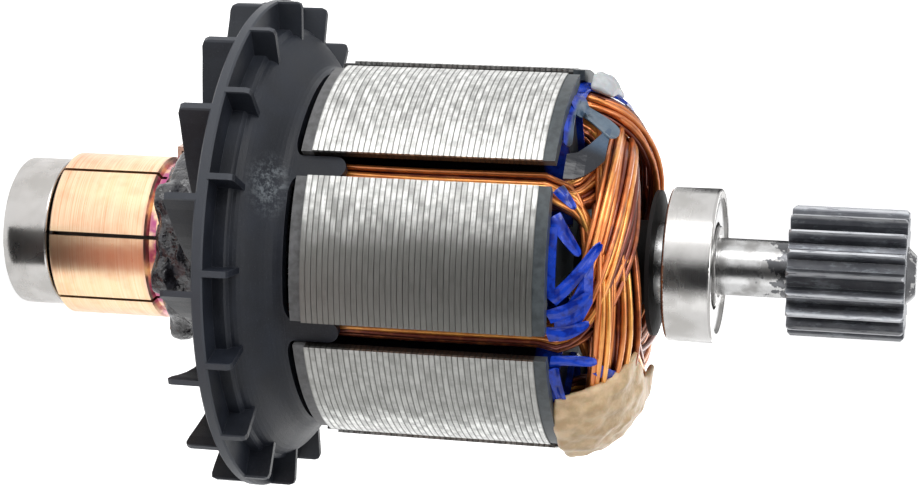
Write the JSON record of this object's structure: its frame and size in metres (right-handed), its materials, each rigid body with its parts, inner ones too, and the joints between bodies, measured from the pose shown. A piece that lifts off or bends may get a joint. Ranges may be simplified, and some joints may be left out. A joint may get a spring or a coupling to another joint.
{
  "type": "motor armature",
  "caption": "Wound rotor of a brushed motor: shaft with a straight-cut pinion, two ball bearings, slotted sheet stack, copper coils, hook commutator and a moulded fan.",
  "frame": {"origin": "centre of the rear bearing's lower face, on the shaft axis, where the armature stands", "axes": "+Z along the shaft towards the pinion, -Y towards the middle of one tooth and of one commutator slit"},
  "size_m": [0.062, 0.062, 0.1143],
  "materials": {
    "steel": "ground and polished",
    "pinion_steel": "oiled dark steel with bright worn tooth edges",
    "ball_steel": "mirror polished",
    "cage_steel": "stamped",
    "shield_steel": "bright stamped",
    "core_steel": "turned sheet edges under thin varnish",
    "rear_board": "matte grey fibre board",
    "front_board": "matte dark grey fibre board",
    "liner_film": "glossy blue film",
    "enamelled_copper": "glossy orange-brown enamel on copper",
    "copper": "turned copper",
    "phenolic": "black moulded phenolic",
    "resin": "dark poured resin",
    "fan_plastic": "satin blue-black moulded plastic",
    "sleeve_plastic": "black insulating sleeve",
    "cream_putty": "cream epoxy putty",
    "grey_putty": "grey epoxy putty"
  },
  "bodies": {
    "rotor": {"shaft": "steel", "pinion": "pinion_steel", "collar": "steel", "lamination_stack": "core_steel", "rear_insulator": "rear_board", "front_insulator": "front_board", "slot_liners": "liner_film", "coil_1": "enamelled_copper", "coil_2": "enamelled_copper", "coil_3": "enamelled_copper", "coil_4": "enamelled_copper", "coil_5": "enamelled_copper", "coil_6": "enamelled_copper", "coil_7": "enamelled_copper", "commutator_bars": "copper", "commutator_core": "phenolic", "commutator_leads": "enamelled_copper", "lead_resin": "resin", "fan": "fan_plastic", "shaft_sleeve": "sleeve_plastic", "end_washer": "sleeve_plastic", "balancing_putty": "cream_putty", "trim_putty": "grey_putty", "front_inner_ring": "steel", "rear_inner_ring": "steel"},
    "front_outer": {"front_outer_ring": "steel", "front_shields": "shield_steel"},
    "front_rolling": {"front_balls": "ball_steel", "front_cage": "cage_steel"},
    "rear_outer": {"rear_outer_ring": "steel", "rear_shields": "shield_steel"},
    "rear_rolling": {"rear_balls": "ball_steel", "rear_cage": "cage_steel"}
  },
  "joints": [
    {"name": "front_bearing_spin", "type": "hinge", "parent": "rotor", "child": "front_outer", "pos_m": [0, 0, 0.0876], "axis": [0, 0, 1], "continuous": true},
    {"name": "front_cage_spin", "type": "hinge", "parent": "rotor", "child": "front_rolling", "pos_m": [0, 0, 0.0876], "axis": [0, 0, 1], "continuous": true},
    {"name": "rear_bearing_spin", "type": "hinge", "parent": "rotor", "child": "rear_outer", "pos_m": [0, 0, 0.003], "axis": [0, 0, 1], "continuous": true},
    {"name": "rear_cage_spin", "type": "hinge", "parent": "rotor", "child": "rear_rolling", "pos_m": [0, 0, 0.003], "axis": [0, 0, 1], "continuous": true}
  ],
  "couplings": [
    {"joint": "front_cage_spin", "follows": "front_bearing_spin", "ratio": 0.6385},
    {"joint": "rear_cage_spin", "follows": "rear_bearing_spin", "ratio": 0.6385}
  ]
}
